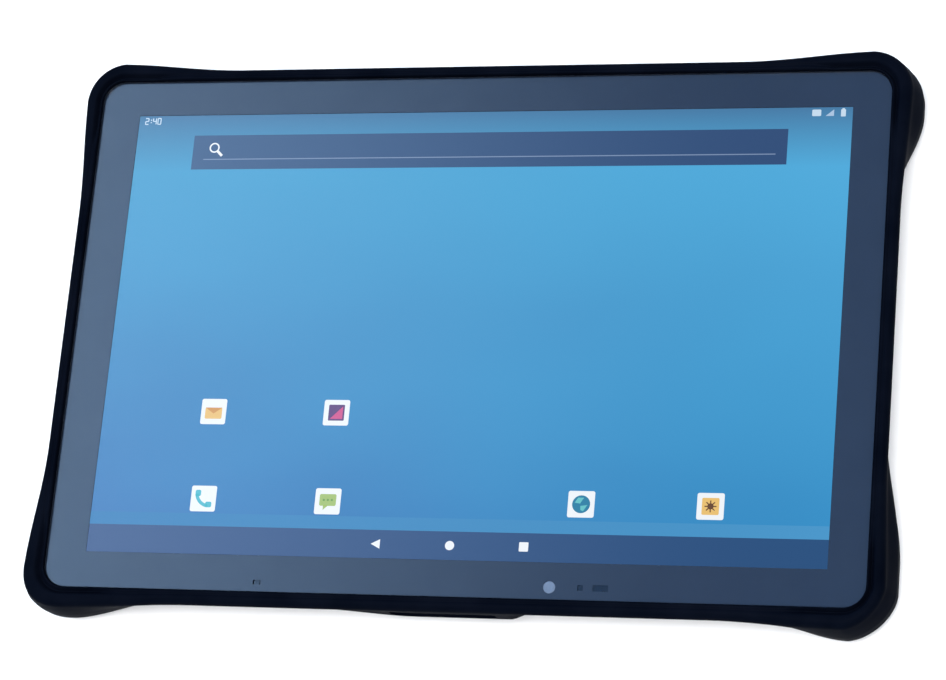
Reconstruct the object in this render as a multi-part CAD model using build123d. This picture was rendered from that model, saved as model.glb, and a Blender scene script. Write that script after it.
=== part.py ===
from build123d import *
from math import atan2, cos, hypot, pi, radians, sin, tan
import os

os.makedirs("parts", exist_ok=True)

# A 10.1-inch rugged field controller lying on its back, screen facing up.
# Millimetres. X runs along the long side, Y towards the top of the screen, Z out of it.
# Z = 0 is the table under the four corner feet.

# ---------------------------------------------------------------- driving dimensions
GLASS = (240.2, 157.2, 6.5)        # cover glass length, width and corner radius
GLASS_T = 1.1
ACTIVE = (216.96, 135.6)           # 10.1-inch 16:10 picture area
ACTIVE_X = 0.5                     # the picture area sits this far right of the middle of the glass
Z_GLASS = 17.4                     # top of the glass
Z_LIP = 18.4                       # top of the rubber lip around it

FRAME_SIDE = (123.8, 82.3)         # half sizes of the rubber frame at its widest, along the sides
Z_WIDEST = 16.0                    # height at which the sides are widest
SIDE_SLOPE = tan(radians(18))      # the sides lean in below that height
SHOULDER = 1.9                     # width of the rounded shoulder at the top
FLARE_X = (106.0, 86.0)            # where the corner guard starts and ends along the long sides
FLARE_Y = (66.0, 40.0)             # the same along the short sides

FOOT_H = 1.4                       # the corner feet lift the back by this much
CASE_LOW = (229.6, 146.6, 5.0)     # lower part of the rear housing
CASE_HIGH = (237.6, 154.6, 5.5)    # upper part, under the glass
Z_CASE_STEP = 6.4
FLOOR_T = 1.8
WALL_T = 1.7
SHELF_T = 1.2

GAP = 0.3                          # clearance around every moving piece
Z_PORT = 9.65                      # height of the connectors and side keys

DOOR_T = 2.2
DOOR_H = 6.6
DOOR_KNUCKLE_R = 1.1
PIN_R = 0.5
PIN_CLEARANCE = 0.05
DOOR_OFFSET = 2.0                  # hinge line outside the housing wall
DOOR_A = (-84.0, 36.0)             # hinge position along the side, and length
DOOR_B = (84.0, 36.0)
CARD_DOOR = (-52.0, 34.0)
BOSS_OUT = 0.5                     # flat lands around the doors and keys sit inside the widest line
DOCK_FACE = -82.3                  # face of the raised land round the docking contacts
DOCK_RECESS = 0.8                  # the contacts sit this far behind that face
DOCK_SLOT_HALF = 15.6              # half the width of the opening round the docking contacts
DOCK_SLOT_Z = (10.2, 13.8)         # height range of that opening
DOCK_LAND_LOW = 9.4                # underside of the raised land

KEY_TRAVEL = 0.5
KEY_H = 4.6
KEYS = {                           # name: centre along the left side, cap length
    "power_key": (32.0, 11.0),
    "volume_up_key": (18.5, 9.0),
    "volume_down_key": (7.5, 9.0),
    "function_key": (-5.5, 9.0),
}

USB_X = -73.0
AUDIO_X = -58.0
AUDIO_BORE_R = 1.8
AUDIO_DEPTH = 12.5
HDMI_X = 72.0
DC_X = 58.0
CARD_SLOTS = ((-41.1, 12.5), (-26.6, 11.2))   # centre along the side and card width

SCREW_POINTS = [(sx * 106.0, sy * 64.0) for sx in (-1, 1) for sy in (-1, 1)]
SCREW_POINTS += [(-106.0, 0.0), (106.0, 0.0)]
SCREW_POINTS += [(sx * 40.0, sy * 64.0) for sx in (-1, 1) for sy in (-1, 1)]
STANDOFFS = [(-92.0, 50.0), (-92.0, 66.0), (72.0, 50.0), (-8.0, 50.0)]
AMPS = (38.1, 30.2)                # hole spacing of the bracket pattern on the back
INSERT_HOLE_R = 2.0                # M4 inserts
INSERT_R = 2.9
INSERT_L = 4.8

FRONT_CAMERA = (31.3, -75.0)
LIGHT_SENSOR = (40.2, -75.0)
RANGE_SENSOR = (46.0, -75.0)
STATUS_LED = (-54.8, -75.8)
REAR_CAMERA = (92.0, 54.0)
FLASH = (80.0, 54.0)
SPEAKERS = ((-84.0, -57.0), (84.0, -57.0))

# ---------------------------------------------------------------- derived heights
Z_GLASS_LOW = Z_GLASS - GLASS_T
Z_MASK = Z_GLASS_LOW - 0.15
Z_TOUCH = Z_MASK - 0.15
Z_LCD = Z_TOUCH - 1.2
Z_LIGHT = Z_LCD - 2.05
Z_PLATE = Z_LIGHT - 0.95           # underside of the middle frame
Z_ADHESIVE = Z_MASK - 0.4
Z_FLOOR = FOOT_H + FLOOR_T
Z_SHELF = Z_CASE_STEP + SHELF_T
WALL_X = CASE_HIGH[0] / 2
WALL_Y = CASE_HIGH[1] / 2
BOARD_Z = 6.2
BOARD_T = 1.0


# ---------------------------------------------------------------- helpers
def slab(size, z_low, z_high, grow=0.0):
    """Rounded rectangle of (length, width, radius) between two heights."""
    outline = RectangleRounded(size[0] + 2 * grow, size[1] + 2 * grow, size[2] + grow)
    return Pos(0, 0, z_low) * extrude(outline, z_high - z_low)


def block(x_span, y_span, z_span):
    """Box between three pairs of limits."""
    size = [high - low for low, high in (x_span, y_span, z_span)]
    centre = [(high + low) / 2 for low, high in (x_span, y_span, z_span)]
    return Pos(*centre) * Box(*size)


def rod(x, y, z_low, z_high, radius):
    """Upright cylinder."""
    return Pos(x, y, (z_low + z_high) / 2) * Cylinder(radius, z_high - z_low)


def rod_y(x, z, y_low, y_high, radius):
    """Cylinder along Y."""
    return Pos(x, (y_low + y_high) / 2, z) * Rot(90, 0, 0) * Cylinder(radius, y_high - y_low)


def join(shapes):
    """Union of a list of shapes."""
    total = shapes[0]
    for shape in shapes[1:]:
        total = total + shape
    return total


def save(shape, name):
    export_step(shape, f"parts/{name}.step")


def rounded_loop(corners, z):
    """Closed face at height z through (x, y, fillet radius) corners, all joined by tangent arcs."""
    arcs = []
    count = len(corners)
    for i, (x, y, radius) in enumerate(corners):
        x_before, y_before, _ = corners[i - 1]
        x_after, y_after, _ = corners[(i + 1) % count]
        along_in = (x - x_before, y - y_before)
        along_out = (x_after - x, y_after - y)
        length_in = hypot(*along_in)
        length_out = hypot(*along_out)
        u_in = (along_in[0] / length_in, along_in[1] / length_in)
        u_out = (along_out[0] / length_out, along_out[1] / length_out)
        turn = atan2(u_out[1], u_out[0]) - atan2(u_in[1], u_in[0])
        turn = (turn + pi) % (2 * pi) - pi
        reach = radius * tan(abs(turn) / 2)
        start = (x - u_in[0] * reach, y - u_in[1] * reach)
        end = (x + u_out[0] * reach, y + u_out[1] * reach)
        bisector = (u_out[0] - u_in[0], u_out[1] - u_in[1])
        size = hypot(*bisector)
        sag = radius / cos(turn / 2) - radius
        middle = (x + bisector[0] / size * sag, y + bisector[1] / size * sag)
        arcs.append((start, middle, end))
    edges = []
    for i, (start, middle, end) in enumerate(arcs):
        previous_end = arcs[i - 1][2]
        edges.append(Edge.make_line((*previous_end, z), (*start, z)))
        edges.append(Edge.make_three_point_arc((*start, z), (*middle, z), (*end, z)))
    return Face(Wire(edges))


def frame_section(z, side_inset, guard_x, guard_y, corner_r):
    """Outline of the rubber frame at one height: straight sides that flare into corner guards."""
    side_x = FRAME_SIDE[0] - side_inset
    side_y = FRAME_SIDE[1] - side_inset
    quadrant = [
        (side_x, FLARE_Y[1], 60.0),
        (guard_x, FLARE_Y[0], 30.0),
        (guard_x, guard_y, corner_r),
        (FLARE_X[0], guard_y, 20.0),
        (FLARE_X[1], side_y, 40.0),
    ]
    loop = list(quadrant)
    loop += [(-x, y, r) for x, y, r in reversed(quadrant)]
    loop += [(-x, -y, r) for x, y, r in quadrant]
    loop += [(x, -y, r) for x, y, r in reversed(quadrant)]
    return rounded_loop(loop, z)


def lean(z):
    """How far the side has leaned in at height z."""
    return (Z_WIDEST - z) * SIDE_SLOPE


# ---------------------------------------------------------------- hinged port doors
# Local frame of a door: hinge line at the origin along Z, plate towards +X, outer face towards +Y.
def door_shape(length, plugs):
    half_h = DOOR_H / 2
    half_t = DOOR_T / 2
    plate = block((0, length), (-half_t, half_t), (-half_h, half_h))
    plate = fillet(plate.edges().filter_by(Axis.Y).sort_by(Axis.X)[-2:], 1.2)
    knuckle = Cylinder(DOOR_KNUCKLE_R, DOOR_H)
    seal_outer = block((3.2, length - 1.2), (-half_t - 0.6, 0), (-half_h + 0.6, half_h - 0.6))
    seal_inner = block((4.0, length - 2.0), (-half_t - 1.0, -half_t), (-half_h + 1.4, half_h - 1.4))
    tab = block((length - 3.0, length - 0.6), (0, half_t + 0.7), (-1.6, 1.6))
    door = plate + knuckle + (seal_outer - seal_inner) + tab
    for plug in plugs:
        door = door + plug
    return door - Cylinder(PIN_R + PIN_CLEARANCE, DOOR_H + 2)


def door_window(length):
    """Opening left in the rubber frame for a door."""
    half_h = DOOR_H / 2 + GAP
    return block((-DOOR_KNUCKLE_R - GAP, length + GAP), (-6, 6), (-half_h, half_h))


def door_pin():
    return Cylinder(PIN_R, DOOR_H + 2 * GAP + 3.0)


def plug_round(along, radius, tip):
    return rod_y(along, 0, -tip, 0, radius)


def plug_flat(along, width, height, tip):
    return block((along - width / 2, along + width / 2), (-tip, 0), (-height / 2, height / 2))


PLUG_TIP = DOOR_OFFSET - 0.1       # the plugs close against the connector mouths
PLACE_A = Pos(DOOR_A[0], WALL_Y + DOOR_OFFSET, Z_PORT)
PLACE_B = Pos(DOOR_B[0], WALL_Y + DOOR_OFFSET, Z_PORT)
PLACE_C = Pos(-WALL_X - DOOR_OFFSET, CARD_DOOR[0], Z_PORT) * Rot(0, 0, 90)

plugs_a = [
    plug_flat(USB_X - DOOR_A[0], 7.2, 1.7, PLUG_TIP),
    plug_round(AUDIO_X - DOOR_A[0], 1.35, PLUG_TIP),
]
plugs_b = [
    plug_flat(DOOR_B[0] - HDMI_X, 4.8, 1.5, PLUG_TIP),
    plug_round(DOOR_B[0] - DC_X, 1.3, PLUG_TIP),
]
door_a = PLACE_A * door_shape(DOOR_A[1], plugs_a)
door_b = PLACE_B * mirror(door_shape(DOOR_B[1], plugs_b), about=Plane.YZ)
card_door = PLACE_C * door_shape(CARD_DOOR[1], [])
save(door_a, "port_door_a")
save(door_b, "port_door_b")
save(card_door, "card_door")
door_pins = join([PLACE_A * door_pin(), PLACE_B * door_pin(), PLACE_C * door_pin()])
save(door_pins, "door_pins")

# ---------------------------------------------------------------- rubber frame
sections = [
    frame_section(0.0, lean(0.0) + 1.0, 124.4, 81.8, 10.0),
    frame_section(FOOT_H, lean(FOOT_H), 126.8, 84.0, 12.0),
    frame_section(4.5, lean(4.5), 128.0, 85.3, 13.0),
    frame_section(9.0, lean(9.0), 128.2, 85.6, 13.2),
    frame_section(13.0, lean(13.0), 127.5, 85.3, 13.2),
    frame_section(14.6, lean(14.6), 127.1, 85.1, 13.1),
    frame_section(Z_WIDEST, 0.0, 126.6, 84.8, 13.0),
]
for step in range(1, 7):
    # quarter-round shoulder up to the lip
    angle = step / 6 * pi / 2
    drop = 1.0 - cos(angle)
    z = Z_WIDEST + (Z_LIP - Z_WIDEST) * sin(angle)
    inset = 2.3 * drop
    sections.append(frame_section(z, SHOULDER * drop, 126.6 - inset, 84.8 - inset, 13.0 - 1.6 * drop))
frame = loft(sections, ruled=True)

land_y = FRAME_SIDE[1] - BOSS_OUT
land_x = FRAME_SIDE[0] - BOSS_OUT
land_z = (4.2, 15.4)
frame = frame + block((DOOR_A[0] - 4, DOOR_A[0] + DOOR_A[1] + 4), (76, land_y), land_z)
frame = frame + block((DOOR_B[0] - DOOR_B[1] - 4, DOOR_B[0] + 4), (76, land_y), land_z)
frame = frame + block((-land_x, -117), (CARD_DOOR[0] - 4, 40.5), land_z)
dock_foot = DOCK_FACE + 2.3
dock_plan = Polyline(
    (-36, -76),
    (-36, dock_foot),
    (-10, DOCK_FACE),
    (19.5, DOCK_FACE),
    (22.5, dock_foot),
    (22.5, -76),
    close=True,
)
frame = frame + Pos(0, 0, DOCK_LAND_LOW) * extrude(make_face(dock_plan), Z_WIDEST - DOCK_LAND_LOW)

# feet only at the corners
frame = frame - block((-97, 97), (-90, 90), (-1, FOOT_H)) - block((-130, 130), (-57, 57), (-1, FOOT_H))
# room for the housing and the glass
frame = frame - slab(CASE_LOW, -1, Z_CASE_STEP, 0.4)
frame = frame - slab(CASE_HIGH, Z_CASE_STEP, Z_MASK, 0.2)
frame = frame - slab(GLASS, Z_MASK, Z_LIP + 1, 0.3)
lip = RectangleRounded(GLASS[0] + 1.6, GLASS[1] + 1.6, GLASS[2] + 0.8)
frame = frame - Pos(0, 0, Z_LIP) * extrude(lip, 0.6, dir=(0, 0, -1), taper=45)
# crescent groove behind the lip at each corner
groove = slab((246.8, 163.4, 10.6), Z_LIP - 1.7, Z_LIP + 1) - slab((243.4, 160.4, 8.2), 0, Z_LIP + 2)
for side_x in (-1, 1):
    for side_y in (-1, 1):
        corner = Pos(side_x * 116.5, side_y * 74.5, Z_LIP) * Box(27, 27, 8)
        frame = frame - (groove & corner)
# openings for doors, keys, docking contacts and microphone
frame = frame - PLACE_A * door_window(DOOR_A[1])
frame = frame - PLACE_B * mirror(door_window(DOOR_B[1]), about=Plane.YZ)
frame = frame - PLACE_C * door_window(CARD_DOOR[1])
for place in (PLACE_A, PLACE_B, PLACE_C):
    frame = frame - place * door_pin()
for centre, length in KEYS.values():
    reach = length / 2 + GAP
    half_h = KEY_H / 2 + GAP
    frame = frame - block((-130, -117), (centre - reach, centre + reach), (Z_PORT - half_h, Z_PORT + half_h))
frame = frame - block((-DOCK_SLOT_HALF, DOCK_SLOT_HALF), (-90, -76), DOCK_SLOT_Z)
frame = frame - rod_y(0, Z_PORT, 74, 90, 1.0)
save(frame, "bumper_frame")

# ---------------------------------------------------------------- rear housing
tray = slab(CASE_LOW, FOOT_H, Z_CASE_STEP)
tray = chamfer(tray.faces().sort_by(Axis.Z)[0].edges(), 0.5)
housing = tray + slab(CASE_HIGH, Z_CASE_STEP, Z_MASK - 0.05)
housing = housing - slab(CASE_LOW, Z_FLOOR, Z_SHELF, -FLOOR_T)
housing = housing - slab(CASE_HIGH, Z_SHELF, Z_GLASS, -WALL_T)
posts = [rod(x, y, Z_FLOOR - 0.1, Z_FLOOR + 2.0, 4.2) for x, y in SCREW_POINTS]
posts += [rod(x, y, Z_FLOOR - 0.1, BOARD_Z, 2.2) for x, y in STANDOFFS]
INSERT_POINTS = [(sx * AMPS[0] / 2, sy * AMPS[1] / 2) for sx in (-1, 1) for sy in (-1, 1)]
posts += [rod(x, y, Z_FLOOR - 0.1, FOOT_H + INSERT_L + 1.0, 4.6) for x, y in INSERT_POINTS]
housing = housing + join(posts)
for x, y in SCREW_POINTS:
    housing = housing - rod(x, y, 0, FOOT_H + 1.7, 2.6) - rod(x, y, 0, 8, 1.4)
for x, y in INSERT_POINTS:
    housing = housing - rod(x, y, 0, FOOT_H + INSERT_L, INSERT_R)
for side in (-1, 1):
    for row in range(9):
        # shallow grip grooves on the back, one group for each hand
        groove_x = side * (56.0 + row * 4.5)
        grip = RectangleRounded(1.4, 52.0, 0.65)
        housing = housing - Pos(groove_x, 0, FOOT_H) * extrude(grip, 0.5)
for x, y in SPEAKERS:
    for row in range(5):
        y_row = y + (row - 2) * 2.6
        housing = housing - block((x - 8, x + 8), (y_row - 0.6, y_row + 0.6), (0, Z_FLOOR + 0.1))
housing = housing - rod(*REAR_CAMERA, 0, FOOT_H + 0.8, 5.6) - rod(*REAR_CAMERA, 0, 6, 3.4)
housing = housing - rod(*FLASH, 0, 6, 1.8)
# wall openings for the connectors
port_low, port_high = Z_PORT - 1.75, Z_PORT + 1.75
housing = housing - block((USB_X - 4.7, USB_X + 4.7), (WALL_Y - 3, WALL_Y + 1), (port_low, port_high))
housing = housing - block((HDMI_X - 3.5, HDMI_X + 3.5), (WALL_Y - 3, WALL_Y + 1), (port_low, port_high))
housing = housing - rod_y(AUDIO_X, Z_PORT, WALL_Y - 4, WALL_Y + 1, 2.7)
housing = housing - rod_y(DC_X, Z_PORT, WALL_Y - 4, WALL_Y + 1, 2.7)
housing = housing - rod_y(0, Z_PORT, WALL_Y - 3, WALL_Y + 1, 0.6)
for centre, width in CARD_SLOTS:
    half_w = width / 2 + 0.75
    housing = housing - block(
        (-WALL_X - 1, -WALL_X + 3), (centre - half_w, centre + half_w), (Z_PORT - 0.95, Z_PORT + 0.95)
    )
for centre, length in KEYS.values():
    housing = housing - block(
        (-WALL_X - 1, -WALL_X + 3), (centre - 2.3, centre + 2.3), (Z_PORT - 1.7, Z_PORT + 1.7)
    )
housing = housing - block((-16.2, 16.2), (-WALL_Y - 1, -WALL_Y + 3), (7.7, 13.8))
# relief for the front camera, sensors and status light
relief_y = (-76.8, -72.0)
relief_z = (Z_PLATE - 0.8, Z_GLASS)
front_relief = block((FRONT_CAMERA[0] - 3.8, RANGE_SENSOR[0] + 3.1), relief_y, relief_z)
led_relief = block((STATUS_LED[0] - 2.0, STATUS_LED[0] + 2.0), relief_y, relief_z)
housing = housing - front_relief - led_relief
save(housing, "rear_housing")

# ---------------------------------------------------------------- middle frame
INNER = (CASE_HIGH[0] - 2 * WALL_T, CASE_HIGH[1] - 2 * WALL_T, CASE_HIGH[2] - WALL_T)
POCKET = (227.0, 145.0, 2.0)
middle = slab(INNER, Z_PLATE, Z_ADHESIVE, -0.2) - slab(POCKET, Z_LIGHT - 0.05, Z_GLASS)
middle = middle + join([rod(x, y, Z_FLOOR + 2.15, Z_PLATE + 0.1, 3.0) for x, y in SCREW_POINTS])
for x, y in SCREW_POINTS:
    middle = middle - rod(x, y, 0, Z_PLATE - 0.6, 1.25)
middle = middle - block((-16, 16), (65.8, 67.8), (Z_PLATE - 1, Z_LIGHT + 1))
middle = middle - front_relief - led_relief
save(middle, "mid_frame")

adhesive = slab(INNER, Z_ADHESIVE, Z_MASK, -0.3) - slab((229.0, 147.0, 2.5), 0, Z_GLASS)
save(adhesive - front_relief - led_relief, "display_adhesive")

# ---------------------------------------------------------------- display stack
glass = slab(GLASS, Z_GLASS_LOW, Z_GLASS)
glass = chamfer(glass.faces().sort_by(Axis.Z)[-1].edges(), 0.25)
save(glass, "cover_glass")

mask = slab(GLASS, Z_MASK, Z_GLASS_LOW, -0.1)
mask = mask - Pos(ACTIVE_X, 0, Z_MASK) * Box(ACTIVE[0] + 0.4, ACTIVE[1] + 0.4, 2)
mask = mask - rod(*FRONT_CAMERA, 0, 20, 1.8)
mask = mask - Pos(*STATUS_LED, Z_MASK) * Box(2.3, 1.3, 2)
mask = mask - Pos(*LIGHT_SENSOR, Z_MASK) * Box(1.6, 1.6, 2)
mask = mask - Pos(*RANGE_SENSOR, Z_MASK) * Box(4.4, 1.8, 2)
save(mask, "border_mask")

PANEL = (224.6, 142.6, 1.0)
save(slab(PANEL, Z_TOUCH, Z_MASK), "touch_sensor")
save(slab(PANEL, Z_LCD, Z_TOUCH), "lcd_panel")
save(slab(PANEL, Z_LIGHT, Z_LCD - 0.05, 0.5), "backlight_unit")
save(block((-15, 15), (66.6, 67.0), (7.3, Z_LIGHT - 0.1)), "display_flex")

# ---------------------------------------------------------------- boards and battery
board_top = BOARD_Z + BOARD_T
board = block((-100, 78), (45, 70), (BOARD_Z, board_top))
for x in (-40, 40):
    board = board - rod(x, 64, 0, 20, 3.8)
save(board, "main_board")

chips = [
    block((-20, -6), (51, 65), (board_top, board_top + 1.2)),
    block((8, 20), (52, 64), (board_top, board_top + 1.0)),
    block((-92, -80), (52, 61), (board_top, board_top + 0.9)),
]
save(join(chips), "board_chips")


def shield(x_span, y_span, height):
    """Open-bottomed pressed lid over part of the board."""
    low = board_top + 0.02
    outer = block(x_span, y_span, (low, low + height))
    inner = block(
        (x_span[0] + 0.3, x_span[1] - 0.3), (y_span[0] + 0.3, y_span[1] - 0.3), (low - 1, low + height - 0.3)
    )
    return outer - inner


shields = [
    shield((-24, -2), (48, 66), 2.4),
    shield((3, 25), (48, 66), 2.4),
    shield((-96, -76), (48, 64), 2.2),
]
save(join(shields), "shield_cans")
save(block((61, 76), (46.5, 61.5), (board_top, board_top + 3.8)), "gnss_antenna")
antennas = [block((116.5, 116.8), (y - 16, y + 16), (8.0, 11.6)) for y in (-34, 34)]
save(join(antennas), "side_antennas")

cells = [slab((70, 84, 3), 3.6, 10.6)]
save(join([Pos(sx * 63, -2, 0) * cells[0] for sx in (-1, 1)]), "battery_cells")
save(block((-25, 25), (29, 42), (7.6, 8.6)), "battery_board")
save(block((-5, 5), (-55.5, 44.5), (10.9, 11.1)), "link_flex")
save(block((-36, 36), (-70.4, -56), (BOARD_Z, board_top)), "dock_board")
save(block((-112.5, -100), (-49, -20), (7.8, 8.6)), "card_board")

# ---------------------------------------------------------------- connectors
def shell_y(x, width, height, length, wall):
    """Thin-walled connector shell whose mouth is flush with the housing wall."""
    outer = block(
        (x - width / 2, x + width / 2), (WALL_Y - length, WALL_Y), (Z_PORT - height / 2, Z_PORT + height / 2)
    )
    outer = fillet(outer.edges().filter_by(Axis.Y), height * 0.42)
    width_in = width - 2 * wall
    height_in = height - 2 * wall
    inner = block(
        (x - width_in / 2, x + width_in / 2),
        (WALL_Y - length - 1, WALL_Y + 1),
        (Z_PORT - height_in / 2, Z_PORT + height_in / 2),
    )
    inner = fillet(inner.edges().filter_by(Axis.Y), height_in * 0.42)
    return outer - inner, inner


usb_shell, usb_room = shell_y(USB_X, 9.0, 3.2, 8.4, 0.3)
save(usb_shell, "usb_c_shell")
hdmi_shell, hdmi_room = shell_y(HDMI_X, 6.6, 3.0, 8.0, 0.3)
save(hdmi_shell, "hdmi_shell")
usb_back = usb_room & block((-200, 200), (WALL_Y - 8.4, WALL_Y - 7.2), (0, 20))
hdmi_back = hdmi_room & block((-200, 200), (WALL_Y - 8.0, WALL_Y - 6.8), (0, 20))
usb_tongue = block(
    (USB_X - 3.35, USB_X + 3.35), (WALL_Y - 7.3, WALL_Y - 1.2), (Z_PORT - 0.35, Z_PORT + 0.35)
)
hdmi_tongue = block(
    (HDMI_X - 2.2, HDMI_X + 2.2), (WALL_Y - 6.9, WALL_Y - 1.2), (Z_PORT - 0.3, Z_PORT + 0.3)
)
save(join([usb_back + usb_tongue, hdmi_back + hdmi_tongue]), "port_inserts")


def barrel_socket(x, bore_r, depth):
    """Round socket body with a nose that fills its hole in the housing wall."""
    body = block((x - 4, x + 4), (WALL_Y - 14, WALL_Y - 1.75), (Z_SHELF + 0.02, Z_PLATE - 0.1))
    nose = rod_y(x, Z_PORT, WALL_Y - 1.8, WALL_Y, 2.6)
    return body + nose - rod_y(x, Z_PORT, WALL_Y - depth, WALL_Y + 1, bore_r)


save(barrel_socket(AUDIO_X, AUDIO_BORE_R, AUDIO_DEPTH), "audio_socket")
dc_socket = barrel_socket(DC_X, 1.75, 11.0) + rod_y(DC_X, Z_PORT, WALL_Y - 11.5, WALL_Y - 2.0, 0.65)
save(dc_socket, "dc_socket")

card_sockets = []
for centre, width in CARD_SLOTS:
    half_w = width / 2 + 0.65
    body = block(
        (-WALL_X, -WALL_X + 16.5), (centre - half_w, centre + half_w), (Z_PORT - 0.85, Z_PORT + 0.85)
    )
    slot = block(
        (-WALL_X - 1, -WALL_X + 15), (centre - width / 2, centre + width / 2), (Z_PORT - 0.45, Z_PORT + 0.45)
    )
    card_sockets.append(body - slot)
save(join(card_sockets), "card_sockets")

dock_back = DOCK_FACE + DOCK_RECESS
dock_half = DOCK_SLOT_HALF - 0.2
dock = block((-dock_half, dock_half), (dock_back, -75.5), (DOCK_SLOT_Z[0] + 0.2, DOCK_SLOT_Z[1] - 0.2))
dock = dock + block((-14, 14), (-75.8, -70.6), (7.8, 11.6))
save(dock, "dock_connector")
pads = []
for i in range(10):
    x = (i - 4.5) * 2.8
    pads.append(block((x - 0.7, x + 0.7), (dock_back - 0.15, dock_back), (11.0, 13.0)))
save(join(pads), "dock_contacts")

# ---------------------------------------------------------------- side keys and switches
for name, (centre, length) in KEYS.items():
    cap_out = -land_x + 0.3
    half_cap = length / 2
    cap = block((cap_out, cap_out + 2.6), (centre - half_cap, centre + half_cap), (Z_PORT - 2.3, Z_PORT + 2.3))
    cap = fillet(cap.edges().filter_by(Axis.X), 1.6)
    cap = fillet(cap.faces().sort_by(Axis.X)[0].edges(), 0.5)
    neck = block((cap_out + 2, -116.6), (centre - 2, centre + 2), (Z_PORT - 1.4, Z_PORT + 1.4))
    flange = block((-116.8, -116.2), (centre - 3, centre + 3), (Z_PORT - 1.9, Z_PORT + 1.9))
    save(cap + neck + flange, name)

switches = block((-114.2, -113.8), (-12, 40), (7.9, 11.5))
for centre, length in KEYS.values():
    switches = switches + block((-115.1, -114.2), (centre - 2, centre + 2), (Z_PORT - 1.7, Z_PORT + 1.7))
    switches = switches + block((-115.6, -115.1), (centre - 0.8, centre + 0.8), (Z_PORT - 0.8, Z_PORT + 0.8))
save(switches, "side_key_switches")

# ---------------------------------------------------------------- cameras, sensors, sound
camera_body = block(
    (FRONT_CAMERA[0] - 2.8, FRONT_CAMERA[0] + 2.8), (-76.5, -72.3), (Z_PLATE - 0.6, Z_PLATE + 1.6)
)
save(camera_body + rod(*FRONT_CAMERA, Z_PLATE, Z_MASK - 0.1, 1.75), "front_camera")
sensors = block((LIGHT_SENSOR[0] - 2.6, RANGE_SENSOR[0] + 2.5), (-76.3, -73.2), (Z_PLATE, Z_PLATE + 0.8))
sensors = sensors + Pos(*LIGHT_SENSOR, Z_MASK - 1.9) * Box(2.4, 2.4, 3.4)
sensors = sensors + Pos(*RANGE_SENSOR, Z_MASK - 1.9) * Box(5.0, 2.4, 3.4)
save(sensors, "front_sensors")
led_body = block((STATUS_LED[0] - 1.3, STATUS_LED[0] + 1.3), (-76.4, -73.4), (Z_PLATE, Z_PLATE + 0.8))
save(led_body + rod(*STATUS_LED, Z_PLATE, Z_MASK - 0.1, 0.9), "status_led")

camera_x, camera_y = REAR_CAMERA
window = rod(camera_x, camera_y, FOOT_H + 0.05, FOOT_H + 0.75, 4.4)
save(window, "rear_camera_window")
bezel = rod(camera_x, camera_y, FOOT_H + 0.0, FOOT_H + 0.78, 5.5) - rod(camera_x, camera_y, 0, 5, 4.45)
save(bezel, "rear_camera_bezel")
camera = block((camera_x - 5, camera_x + 5), (camera_y - 5, camera_y + 5), (Z_FLOOR + 0.2, 8.6))
save(camera + rod(camera_x, camera_y, FOOT_H + 0.9, Z_FLOOR + 0.3, 3.2), "rear_camera")
flash_x, flash_y = FLASH
flash = rod(flash_x, flash_y, FOOT_H + 0.1, Z_FLOOR + 0.3, 1.7)
flash = flash + block((flash_x - 2, flash_x + 2), (flash_y - 2, flash_y + 2), (Z_FLOOR + 0.1, Z_FLOOR + 0.9))
save(flash, "flash_led")

speakers = [block((x - 14, x + 14), (y - 8, y + 8), (Z_FLOOR + 0.3, 9.2)) for x, y in SPEAKERS]
save(join(speakers), "speakers")
meshes = [block((x - 10, x + 10), (y - 7, y + 7), (Z_FLOOR + 0.02, Z_FLOOR + 0.22)) for x, y in SPEAKERS]
save(join(meshes), "speaker_meshes")
save(block((-2, 2), (72.4, 75.4), (Z_PORT - 1.2, Z_PORT + 1.2)), "microphone")
save(rod(16, -46, Z_FLOOR + 0.1, Z_FLOOR + 3.2, 5.0), "vibration_motor")

# ---------------------------------------------------------------- screws and inserts
screws = []
for x, y in SCREW_POINTS:
    head = rod(x, y, FOOT_H + 0.1, FOOT_H + 1.65, 2.3)
    socket = extrude(Pos(x, y, FOOT_H + 0.1) * RegularPolygon(1.15, 6), 0.9)
    screws.append(head + rod(x, y, FOOT_H + 1.6, 10.6, 1.2) - socket)
save(join(screws), "housing_screws")
inserts = []
for x, y in INSERT_POINTS:
    sleeve = rod(x, y, FOOT_H + 0.1, FOOT_H + INSERT_L, INSERT_R) - rod(x, y, 0, 9, INSERT_HOLE_R)
    inserts.append(sleeve)
save(join(inserts), "mount_inserts")
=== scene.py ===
import math

import bpy
import numpy as np
from mathutils import Matrix, Vector


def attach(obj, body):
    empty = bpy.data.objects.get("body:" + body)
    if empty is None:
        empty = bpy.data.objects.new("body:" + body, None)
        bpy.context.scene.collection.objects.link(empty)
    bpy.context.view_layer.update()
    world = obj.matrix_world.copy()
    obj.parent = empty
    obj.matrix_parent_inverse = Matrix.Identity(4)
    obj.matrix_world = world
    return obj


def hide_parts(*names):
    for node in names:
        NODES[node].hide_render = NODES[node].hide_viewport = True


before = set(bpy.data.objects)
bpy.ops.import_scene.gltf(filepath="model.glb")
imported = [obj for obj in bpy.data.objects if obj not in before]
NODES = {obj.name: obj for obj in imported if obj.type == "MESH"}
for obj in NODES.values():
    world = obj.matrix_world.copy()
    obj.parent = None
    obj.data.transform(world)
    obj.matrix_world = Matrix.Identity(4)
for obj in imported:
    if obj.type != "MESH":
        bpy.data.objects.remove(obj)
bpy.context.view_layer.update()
MM = 0.001
ROOT = "tablet"

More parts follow.
